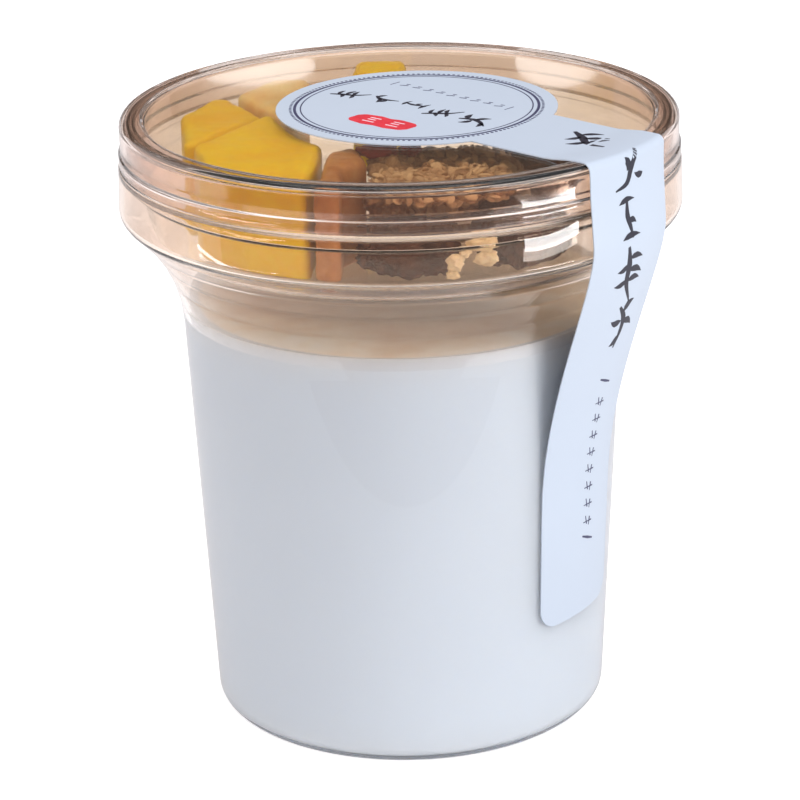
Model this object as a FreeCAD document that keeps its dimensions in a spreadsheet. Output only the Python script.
import FreeCAD, Part

import math
import os
import random

import Sketcher

# Clear yogurt cup with a clipped-on lid, a hanging tray of fruit and nuts under the lid,
# a paper seal over the rim and yogurt in the tapered body. Millimetres, +Z up, origin at
# the middle of the base.

os.makedirs("parts", exist_ok=True)
doc = FreeCAD.newDocument("YogurtCup")

# Driving sizes. Heights are stacked one on the next, so each can change by itself. The
# pulls and landShare are plain shares: how far the seal's free fall hugs its two ends.
sizes = {
    "baseRadius": 32.8,
    "shoulderRadius": 36.5,
    "bandRadius": 45.7,
    "bandLean": 0.3,
    "bodyHeight": 77.5,
    "flareHeight": 8.3,
    "bandHeight": 7.9,
    "neckHeight": 5.8,
    "neckInset": 1.45,
    "cupWall": 0.9,
    "cupFloor": 1.2,
    "baseRise": 0.8,
    "baseRing": 5.0,
    "heelRadius": 2.0,
    "flareRadius": 25.0,
    "bandCorner": 2.1,
    "clipBead": 0.3,
    "clipHeight": 1.4,
    "clipDrop": 3.6,
    "lidWall": 0.9,
    "lidGap": 0.15,
    "lidRim": 3.4,
    "lidRecess": 0.6,
    "lidEdge": 1.1,
    "skirtBead": 0.3,
    "skirtBeadHeight": 1.9,
    "trayWall": 0.5,
    "trayGap": 0.25,
    "trayDepth": 18.2,
    "trayStepDrop": 9.0,
    "trayStep": 0.9,
    "trayCorner": 2.2,
    "headspace": 10.6,
    "yogurtGap": 0.05,
    "meniscus": 0.5,
    "foodGap": 0.12,
    "labelDisc": 22.8,
    "labelAcross": 2.9,
    "labelBack": 2.4,
    "stripWidth": 19.6,
    "stripHeading": 46.5,
    "sideHeading": 52.0,
    "stripLean": 2.5,
    "stripShift": -0.6,
    "tailHeight": 20.3,
    "tailCorner": 3.5,
    "landHeight": 42.0,
    "landShare": 0.6,
    "hemPull": 0.16,
    "landPull": 0.42,
    "bridgeRun": 4.0,
    "paper": 0.2,
    "paperGap": 0.05,
}

sheet = doc.addObject("Spreadsheet::Sheet", "sizes")
for row, (alias, size) in enumerate(sizes.items(), start=1):
    sheet.set(f"A{row}", alias)
    sheet.set(f"B{row}", str(size))
    sheet.setAlias(f"B{row}", alias)
doc.recompute()

# Sizes worked out from the driving ones, each an expression on the sheet.
worked = doc.addObject("App::VarSet", "worked")


def work(name, expression):
    worked.addProperty("App::PropertyFloat", name)
    worked.setExpression(name, expression)
    doc.recompute()


def where(name):
    """The expression that names a driving or a worked size."""
    return f"sizes.{name}" if name in sizes else f"worked.{name}"


def size(name):
    return float(getattr(sheet if name in sizes else worked, name))


# Wall and flare: their angles from upright, and the corners of the outer outline.
work("flareFoot", "sizes.bodyHeight")
work("bandFoot", "sizes.bodyHeight + sizes.flareHeight")
work("ledge", "worked.bandFoot + sizes.bandHeight")
work("neckTop", "worked.ledge + sizes.neckHeight")
work("ledgeRadius", "sizes.bandRadius - sizes.bandLean")
work("neckRadius", "worked.ledgeRadius - sizes.neckInset")
work("wallLean", "atan((sizes.shoulderRadius - sizes.baseRadius) / sizes.bodyHeight) / 1deg")
work("flareLean", "atan((sizes.bandRadius - sizes.shoulderRadius) / sizes.flareHeight) / 1deg")
work("flareTurn", "(worked.flareLean - worked.wallLean) / 2")
work("flareMean", "(worked.flareLean + worked.wallLean) / 2")
work("flareRun", "sizes.flareHeight / cos(worked.flareLean * 1deg)")

# The same outline one wall inside.
work("wallIn", "sizes.cupWall / cos(worked.wallLean * 1deg)")
work("cornerIn", "sizes.cupWall / cos(worked.flareTurn * 1deg)")
work("footIn", "sizes.cupWall / cos(worked.flareLean * 1deg / 2)")
work("innerBase", "sizes.baseRadius - worked.wallIn + sizes.cupFloor * tan(worked.wallLean * 1deg)")
work("innerShoulder", "sizes.shoulderRadius - worked.cornerIn * cos(worked.flareMean * 1deg)")
work("innerShoulderHeight", "worked.flareFoot + worked.cornerIn * sin(worked.flareMean * 1deg)")
work("innerBand", "sizes.bandRadius - worked.footIn * cos(worked.flareLean * 1deg / 2)")
work("innerBandHeight", "worked.bandFoot + worked.footIn * sin(worked.flareLean * 1deg / 2)")
work("innerLedge", "worked.ledgeRadius - sizes.cupWall")
work("innerLedgeHeight", "worked.ledge - sizes.cupWall")
work("innerNeck", "worked.neckRadius - sizes.cupWall")
work("baseRingRadius", "sizes.baseRadius - sizes.baseRing")
work("baseRiseRadius", "worked.baseRingRadius - sizes.baseRise")
work("clipTop", "worked.neckTop - sizes.clipDrop + sizes.clipHeight / 2")
work("clipBottom", "worked.clipTop - sizes.clipHeight")
work("clipMiddle", "worked.neckTop - sizes.clipDrop")
work("clipRadius", "worked.neckRadius + sizes.clipBead")

# Rounding, each as large as its wall allows.
work("cornerRound", "min(sizes.bandCorner; 0.4 * sizes.bandHeight)")
work("cornerTangent", "worked.cornerRound * tan(worked.flareLean * 1deg / 2)")
work("flareRoom", "(0.97 * worked.flareRun - worked.cornerTangent) / tan(worked.flareTurn * 1deg)")
work("flareRound", "min(sizes.flareRadius; worked.flareRoom)")
work("innerFlareRound", "worked.flareRound + sizes.cupWall")
work("innerCornerRound", "worked.cornerRound - sizes.cupWall")
work("heelRound", "min(sizes.heelRadius; 0.8 * sizes.baseRing)")

# Tray, hung by its flange on the neck.
work("trayTop", "worked.neckTop + sizes.trayWall")
work("trayFlangeRadius", "worked.neckRadius - sizes.lidGap")
work("trayMouth", "worked.innerNeck - sizes.trayGap")
work("trayStepHeight", "worked.neckTop - sizes.trayStepDrop")
work("trayShelf", "worked.trayStepHeight - sizes.trayStep / 2")
work("trayBottom", "worked.trayTop - sizes.trayDepth")
work("trayBelow", "worked.trayBottom - worked.innerShoulderHeight")
work("flareGrowth", "(worked.innerBand - worked.innerShoulder)"
     " / (worked.innerBandHeight - worked.innerShoulderHeight)")
work("trayRoom", "worked.innerShoulder + worked.trayBelow * worked.flareGrowth - sizes.trayGap")
work("trayFloorRadius", "min(worked.trayRoom; worked.trayMouth - sizes.trayStep - sizes.trayWall)")
work("trayShelfRadius", "worked.trayMouth - sizes.trayStep")
work("trayInner", "worked.trayMouth - sizes.trayWall")
work("trayShelfInner", "worked.trayShelfRadius - sizes.trayWall")
work("trayFloorInner", "worked.trayFloorRadius - sizes.trayWall")
work("trayFloorTop", "worked.trayBottom + sizes.trayWall")
work("trayStepInner", "worked.trayStepHeight + sizes.trayWall / 2")
work("trayShelfTop", "worked.trayShelf + sizes.trayWall / 2")
work("trayCornerInner", "sizes.trayCorner - sizes.trayWall")

# Lid, clipped over the neck's bead.
work("lidUnder", "worked.trayTop + sizes.lidGap")
work("lidTop", "worked.lidUnder + sizes.lidWall")
work("lidInner", "worked.neckRadius + sizes.lidGap")
work("lidRadius", "worked.lidInner + sizes.lidWall")
work("lidClip", "worked.clipRadius + sizes.lidGap")
work("clipFree", "sizes.clipHeight / 2 + 2 * sizes.lidGap")
work("lidClipTop", "worked.clipMiddle + worked.clipFree")
work("lidClipBottom", "worked.clipMiddle - worked.clipFree")
work("skirtRadius", "worked.lidRadius + sizes.skirtBead")
work("skirtFoot", "worked.ledge + sizes.lidGap")
work("skirtBeadTop", "worked.skirtFoot + sizes.skirtBeadHeight")
work("skirtSlope", "worked.skirtBeadTop + sizes.skirtBead")
work("rimInner", "worked.lidRadius - sizes.lidRim")
work("panelRadius", "worked.rimInner - sizes.lidRecess")
work("panelTop", "worked.lidTop - sizes.lidRecess")
work("panelUnder", "worked.panelTop - sizes.lidWall")
work("lidEdgeRound", "min(sizes.lidEdge; 0.9 * worked.lidTop - 0.9 * worked.skirtSlope)")

# Yogurt, filled to the headspace under the tray.
work("yogurtTop", "worked.trayBottom - sizes.headspace")
work("yogurtFoot", "sizes.cupFloor + sizes.yogurtGap")
work("yogurtBase", "worked.innerBase - sizes.yogurtGap")
work("yogurtRadius", "worked.innerBase - sizes.yogurtGap"
     " + (worked.yogurtTop - sizes.cupFloor) * tan(worked.wallLean * 1deg)")
work("innerHeel", "max(worked.heelRound - sizes.cupWall / 2; 0.3)")
work("meniscusInner", "worked.yogurtRadius - 3 * sizes.meniscus")
work("meniscusFloor", "worked.yogurtTop - sizes.meniscus")
work("nothing", "0")


def plane(body, role):
    return [feature for feature in body.Origin.OriginFeatures if feature.Role == role][0]


def section(body, corners, role="XZ_Plane"):
    """A closed sketch through corners, each a pair of size names, held by those sizes."""
    sketch = body.newObject("Sketcher::SketchObject", body.Name + "Section")
    sketch.AttachmentSupport = [(plane(body, role), "")]
    sketch.MapMode = "FlatFace"
    points = [FreeCAD.Vector(size(across), size(up), 0) for across, up in corners]
    count = len(points)
    for n in range(count):
        sketch.addGeometry(Part.LineSegment(points[n], points[(n + 1) % count]), False)
    for n in range(count):
        sketch.addConstraint(Sketcher.Constraint("Coincident", n, 2, (n + 1) % count, 1))
    for n, names in enumerate(corners):
        for direction, name in zip(("DistanceX", "DistanceY"), names):
            if name == "nothing":
                axis = -2 if direction == "DistanceX" else -1
                sketch.addConstraint(Sketcher.Constraint("PointOnObject", n, 1, axis))
            else:
                held = sketch.addConstraint(
                    Sketcher.Constraint(direction, -1, 1, n, 1, size(name)))
                sketch.setExpression(f"Constraints[{held}]", where(name))
    doc.recompute()
    return sketch


def turned(name, corners):
    """A body turned about the upright axis from its section."""
    body = doc.addObject("PartDesign::Body", name)
    body.Label = name
    sketch = section(body, corners)
    turn = body.newObject("PartDesign::Revolution", name + "Turned")
    turn.Profile = sketch
    turn.ReferenceAxis = (sketch, ["V_Axis"])
    turn.Angle = 360.0
    sketch.Visibility = False
    doc.recompute()
    return body


def rings(shape, corners):
    """Names of the round edges that lie at the corners, each a radius and a height."""
    names = []
    for n, edge in enumerate(shape.Edges, start=1):
        if not isinstance(edge.Curve, Part.Circle):
            continue
        for radius, height in corners:
            off = math.hypot(edge.Curve.Radius - size(radius), edge.Curve.Center.z - size(height))
            if off < 0.01:
                names.append(f"Edge{n}")
    return names


def rounded(body, radius, *corners):
    """Round the body's ring edges at the corners to the named radius."""
    base = body.Tip
    names = rings(base.Shape, corners)
    if len(names) != len(corners):
        raise ValueError(f"{body.Label}: {len(names)} of {len(corners)} edges for {radius}")
    fillet = body.newObject("PartDesign::Fillet", f"{body.Name}_{radius}")
    fillet.Base = (base, names)
    fillet.setExpression("Radius", where(radius))
    doc.recompute()


cup = turned("cup", [
    ("nothing", "baseRise"),
    ("baseRiseRadius", "baseRise"),
    ("baseRingRadius", "nothing"),
    ("baseRadius", "nothing"),
    ("shoulderRadius", "flareFoot"),
    ("bandRadius", "bandFoot"),
    ("ledgeRadius", "ledge"),
    ("neckRadius", "ledge"),
    ("neckRadius", "clipBottom"),
    ("clipRadius", "clipMiddle"),
    ("neckRadius", "clipTop"),
    ("neckRadius", "neckTop"),
    ("innerNeck", "neckTop"),
    ("innerNeck", "innerLedgeHeight"),
    ("innerLedge", "innerLedgeHeight"),
    ("innerBand", "innerBandHeight"),
    ("innerShoulder", "innerShoulderHeight"),
    ("innerBase", "cupFloor"),
    ("nothing", "cupFloor"),
])
rounded(cup, "flareRound", ("shoulderRadius", "flareFoot"))
rounded(cup, "innerFlareRound", ("innerShoulder", "innerShoulderHeight"))
rounded(cup, "cornerRound", ("bandRadius", "bandFoot"))
rounded(cup, "innerCornerRound", ("innerBand", "innerBandHeight"))
rounded(cup, "heelRound", ("baseRadius", "nothing"))
rounded(cup, "innerHeel", ("innerBase", "cupFloor"))

tray = turned("tray", [
    ("nothing", "trayBottom"),
    ("trayFloorRadius", "trayBottom"),
    ("trayShelfRadius", "trayShelf"),
    ("trayMouth", "trayStepHeight"),
    ("trayMouth", "neckTop"),
    ("trayFlangeRadius", "neckTop"),
    ("trayFlangeRadius", "trayTop"),
    ("trayInner", "trayTop"),
    ("trayInner", "trayStepInner"),
    ("trayShelfInner", "trayShelfTop"),
    ("trayFloorInner", "trayFloorTop"),
    ("nothing", "trayFloorTop"),
])
rounded(tray, "trayCorner", ("trayFloorRadius", "trayBottom"))
rounded(tray, "trayCornerInner", ("trayFloorInner", "trayFloorTop"))

lid = turned("lid", [
    ("nothing", "panelUnder"),
    ("panelRadius", "panelUnder"),
    ("rimInner", "lidUnder"),
    ("lidInner", "lidUnder"),
    ("lidInner", "lidClipTop"),
    ("lidClip", "clipMiddle"),
    ("lidInner", "lidClipBottom"),
    ("lidInner", "skirtFoot"),
    ("skirtRadius", "skirtFoot"),
    ("skirtRadius", "skirtBeadTop"),
    ("lidRadius", "skirtSlope"),
    ("lidRadius", "lidTop"),
    ("rimInner", "lidTop"),
    ("panelRadius", "panelTop"),
    ("nothing", "panelTop"),
])
rounded(lid, "lidEdgeRound", ("lidRadius", "lidTop"))

yogurt = turned("yogurt", [
    ("nothing", "yogurtFoot"),
    ("yogurtBase", "yogurtFoot"),
    ("yogurtRadius", "yogurtTop"),
    ("meniscusInner", "meniscusFloor"),
    ("nothing", "meniscusFloor"),
])
rounded(yogurt, "innerHeel", ("yogurtBase", "yogurtFoot"))


def outer_radius(height):
    """The body's outer radius below the flare's rounding."""
    return size("baseRadius") + height * math.tan(math.radians(size("wallLean")))


def label_outline(offset):
    """The seal's outline in radius and height, offset from the plastic that it is stuck to."""
    top = size("lidTop") + offset
    panel = size("panelTop") + offset
    side = size("skirtRadius") + offset
    band = max(size("bandRadius"), size("skirtRadius")) + offset
    bend = size("lidEdge") + offset
    foot = size("bandFoot") + size("cornerRound")
    land = min(size("landHeight"), size("landShare") * foot)
    tail = size("tailHeight")
    lean = math.tan(math.radians(size("wallLean")))
    point = FreeCAD.Vector
    cut = math.sqrt(0.5)
    start = point(0, 0, panel)
    rise = point(size("panelRadius") - size("bridgeRun"), 0, panel)
    crest = point(size("rimInner") - offset, 0, top)
    over = point(side - bend, 0, top)
    corner = point(side - bend + bend * cut, 0, top - bend + bend * cut)
    down = point(side, 0, top - bend)
    skirt = point(side, 0, size("skirtFoot") + size("skirtBeadHeight"))
    hem = point(band, 0, foot)
    landing = point(outer_radius(land) + offset, 0, land)
    end = point(outer_radius(tail) + offset, 0, tail)
    fall = foot - land
    hang = size("hemPull") * fall
    rest = size("landPull") * fall
    drop = Part.BezierCurve()
    drop.setPoles([hem, hem - point(0, 0, hang), landing + point(rest * lean, 0, rest), landing])
    return [
        Part.LineSegment(start, rise).toShape(),
        Part.LineSegment(rise, crest).toShape(),
        Part.LineSegment(crest, over).toShape(),
        Part.Arc(over, corner, down).toShape(),
        Part.LineSegment(down, skirt).toShape(),
        Part.LineSegment(skirt, hem).toShape(),
        drop.toShape(),
        Part.LineSegment(landing, end).toShape(),
    ]


def loop(edges):
    return Part.Wire(Part.__sortEdges__(edges))


def label_shape():
    """Paper seal: a disc on the lid and a strip over the rim, free under the band."""
    near = label_outline(size("paperGap"))
    far = label_outline(size("paperGap") + size("paper"))
    start = Part.LineSegment(near[0].Vertexes[0].Point, far[0].Vertexes[0].Point).toShape()
    end = Part.LineSegment(near[-1].Vertexes[-1].Point, far[-1].Vertexes[-1].Point).toShape()
    face = Part.Face(loop(near + far + [start, end]))
    paper = face.revolve(FreeCAD.Vector(0, 0, 0), FreeCAD.Vector(0, 0, 1), 360)

    half = size("stripWidth") / 2
    reach = 2 * size("bandRadius")
    split = size("lidTop") - size("lidEdge")
    tall = 10
    disc = Part.makeCylinder(size("labelDisc"), tall, FreeCAD.Vector(
        size("labelAcross"), size("labelBack"), split))
    arm = Part.makeBox(reach, 2 * half, tall, FreeCAD.Vector(0, -half, 0))
    arm.rotate(FreeCAD.Vector(0, 0, 0), FreeCAD.Vector(0, 0, 1), size("stripHeading") - 90)
    arm.translate(FreeCAD.Vector(size("labelAcross"), size("labelBack"), split))
    top = disc.fuse(arm)

    # Side outline, seen square on: across the strip and up, leaning a little to one side.
    shift = size("stripShift")
    lean = size("stripLean")
    tail = size("tailHeight")
    round_end = min(size("tailCorner"), 0.9 * half)
    split = split + 0.5 * size("lidEdge")
    side = [(shift - half, split), (shift + half, split)]
    side += [(shift + lean + half, tail), (shift + lean - half, tail)]
    corners = [FreeCAD.Vector(0, across, up) for across, up in side]
    slab = Part.Face(Part.makePolygon(corners + corners[:1])).extrude(FreeCAD.Vector(reach, 0, 0))
    ends = [edge for edge in slab.Edges
            if all(abs(v.Z - tail) < 1e-6 for v in edge.Vertexes)
            and abs(edge.Vertexes[0].X - edge.Vertexes[1].X) > 1]
    slab = slab.makeFillet(round_end, ends)
    slab.rotate(FreeCAD.Vector(0, 0, 0), FreeCAD.Vector(0, 0, 1), size("sideHeading") - 90)
    return paper.common(top.fuse(slab)).removeSplitter()


def feature(name, shape):
    """A sub-part whose shape is free-form."""
    made = doc.addObject("Part::Feature", name)
    made.Shape = shape
    made.Placement = FreeCAD.Placement()
    made.Label = name
    return made


label = feature("label", label_shape())

# Toppings. Places are shares of the room in the tray: across and back from the middle as
# shares of its floor radius, up as shares of its height.
work("foodRadius", "worked.trayFloorInner - sizes.foodGap")
work("foodFloor", "worked.trayFloorTop + sizes.foodGap")
work("foodHeight", "worked.panelUnder - worked.foodFloor - 4 * sizes.foodGap")
work("chunkRound", "0.038 * worked.foodRadius")

# Fruit chunks: share of the height that each fills, then its corners seen from above.
chunks = {
    "mango_front": (0.97, [(-0.83, -0.30), (-0.79, -0.53), (-0.60, -0.74), (-0.36, -0.88),
                           (-0.31, -0.33), (-0.43, -0.13), (-0.54, 0.16)]),
    "mango_left": (0.92, [(-0.875, -0.28), (-0.565, 0.185), (-0.72, 0.50), (-0.80, 0.50),
                          (-0.92, 0.22)]),
    "mango_pale": (0.93, [(-0.53, 0.24), (-0.45, 0.22), (-0.38, 0.76), (-0.55, 0.77),
                          (-0.70, 0.55)]),
    "mango_back": (1.00, [(-0.21, 0.68), (0.03, 0.70), (0.04, 0.955), (-0.19, 0.94)]),
    "apricot": (0.95, [(-0.335, -0.885), (-0.235, -0.92), (-0.225, -0.68), (-0.13, -0.56),
                       (-0.17, -0.29), (-0.285, -0.42)]),
}


def chunk(name, height, corners):
    """A cut block of fruit that stands on the tray's floor."""
    body = doc.addObject("PartDesign::Body", name)
    body.Label = name
    sketch = body.newObject("Sketcher::SketchObject", name + "Section")
    sketch.AttachmentSupport = [(plane(body, "XY_Plane"), "")]
    sketch.MapMode = "FlatFace"
    room = size("foodRadius")
    points = [FreeCAD.Vector(across * room, back * room, 0) for across, back in corners]
    count = len(points)
    for n in range(count):
        sketch.addGeometry(Part.LineSegment(points[n], points[(n + 1) % count]), False)
    for n in range(count):
        sketch.addConstraint(Sketcher.Constraint("Coincident", n, 2, (n + 1) % count, 1))
    for n, shares in enumerate(corners):
        for direction, share in zip(("DistanceX", "DistanceY"), shares):
            held = sketch.addConstraint(
                Sketcher.Constraint(direction, -1, 1, n, 1, share * room))
            sketch.setExpression(f"Constraints[{held}]", f"{share} * worked.foodRadius")
    pad = body.newObject("PartDesign::Pad", name + "Block")
    pad.Profile = sketch
    pad.setExpression("Length", f"{height} * worked.foodHeight")
    sketch.Visibility = False
    doc.recompute()
    fillet = body.newObject("PartDesign::Fillet", name + "Rounded")
    fillet.Base = (pad, [f"Edge{n + 1}" for n in range(len(pad.Shape.Edges))])
    fillet.setExpression("Radius", "worked.chunkRound")
    body.setExpression("Placement.Base.z", "worked.foodFloor")
    doc.recompute()
    return body


# Nuts and clusters: middle across, back and up, then half its length, depth and height,
# all as shares of the room, its turn from above, and how lumpy it is.
lumps = {
    "walnut_front": ((0.03, -0.79, 0.29), (0.235, 0.17, 0.29), -3, 0.07, 3),
    "walnut_right": ((0.465, -0.67, 0.36), (0.205, 0.195, 0.36), 40, 0.07, 5),
    "granola_middle": ((0.22, -0.29, 0.44), (0.33, 0.23, 0.44), 8, 0.09, 7),
    "granola_top": ((0.18, -0.72, 0.84), (0.33, 0.19, 0.115), 9, 0.07, 11),
    "walnut_back": ((0.60, 0.22, 0.34), (0.24, 0.20, 0.34), 70, 0.10, 13),
}


def lump(name, middle, half, turn, lumpiness, seed):
    """A closed faceted blob with rounded lobes, kept inside its own box."""
    draw = random.Random(seed)
    waves = [(draw.uniform(1.5, 3.5), draw.uniform(0, 6.28), draw.uniform(1.5, 3.5),
              draw.uniform(0, 6.28)) for _ in range(4)]
    around, up = 26, 13
    room = size("foodRadius")
    height = size("foodHeight")

    def place(direction):
        x, y, z = direction
        swell = sum(math.sin(a * 3 * x + b + c * y) * math.sin(c * 3 * z + d + a * y)
                    for a, b, c, d in waves) / len(waves)
        reach = 1 - lumpiness * (1 + swell)
        square = (abs(x) ** 3 + abs(y) ** 3 + abs(z) ** 3) ** (1 / 3)
        reach /= square
        cos, sin = math.cos(math.radians(turn)), math.sin(math.radians(turn))
        across, back = x * reach * half[0], y * reach * half[1]
        return FreeCAD.Vector(
            room * (middle[0] + across * cos - back * sin),
            room * (middle[1] + across * sin + back * cos),
            size("foodFloor") + height * (middle[2] + z * reach * half[2]))

    rows = []
    for n in range(1, up):
        tilt = math.pi * n / up
        rows.append([place((math.sin(tilt) * math.cos(2 * math.pi * k / around),
                            math.sin(tilt) * math.sin(2 * math.pi * k / around),
                            math.cos(tilt))) for k in range(around)])
    top, bottom = place((0, 0, 1)), place((0, 0, -1))
    faces = []
    for k in range(around):
        after = (k + 1) % around
        faces.append((top, rows[0][k], rows[0][after]))
        faces.append((bottom, rows[-1][after], rows[-1][k]))
        for above, below in zip(rows, rows[1:]):
            faces.append((above[k], below[k], below[after]))
            faces.append((above[k], below[after], above[after]))
    shell = Part.Shell([Part.Face(Part.makePolygon([*corners, corners[0]])) for corners in faces])
    return feature(name, Part.Solid(shell))


parts = [cup, tray, lid, yogurt, label]
for name, (height, corners) in chunks.items():
    parts.append(chunk(name, height, corners))
for name, settings in lumps.items():
    parts.append(lump(name, *settings))

doc.recompute()
for thing in doc.Objects:
    if "Invalid" in thing.State or "Error" in thing.State:
        raise ValueError(f"{thing.Label} did not build: {thing.State}")
for made in parts:
    if made.Shape.isNull() or not made.Shape.isValid() or len(made.Shape.Solids) != 1:
        raise ValueError(f"{made.Label} isn't one valid solid")
for made in parts:
    made.Shape.exportStep(os.path.join("parts", f"{made.Label}.step"))
    print(made.Label, round(made.Shape.Volume, 1), "mm3")
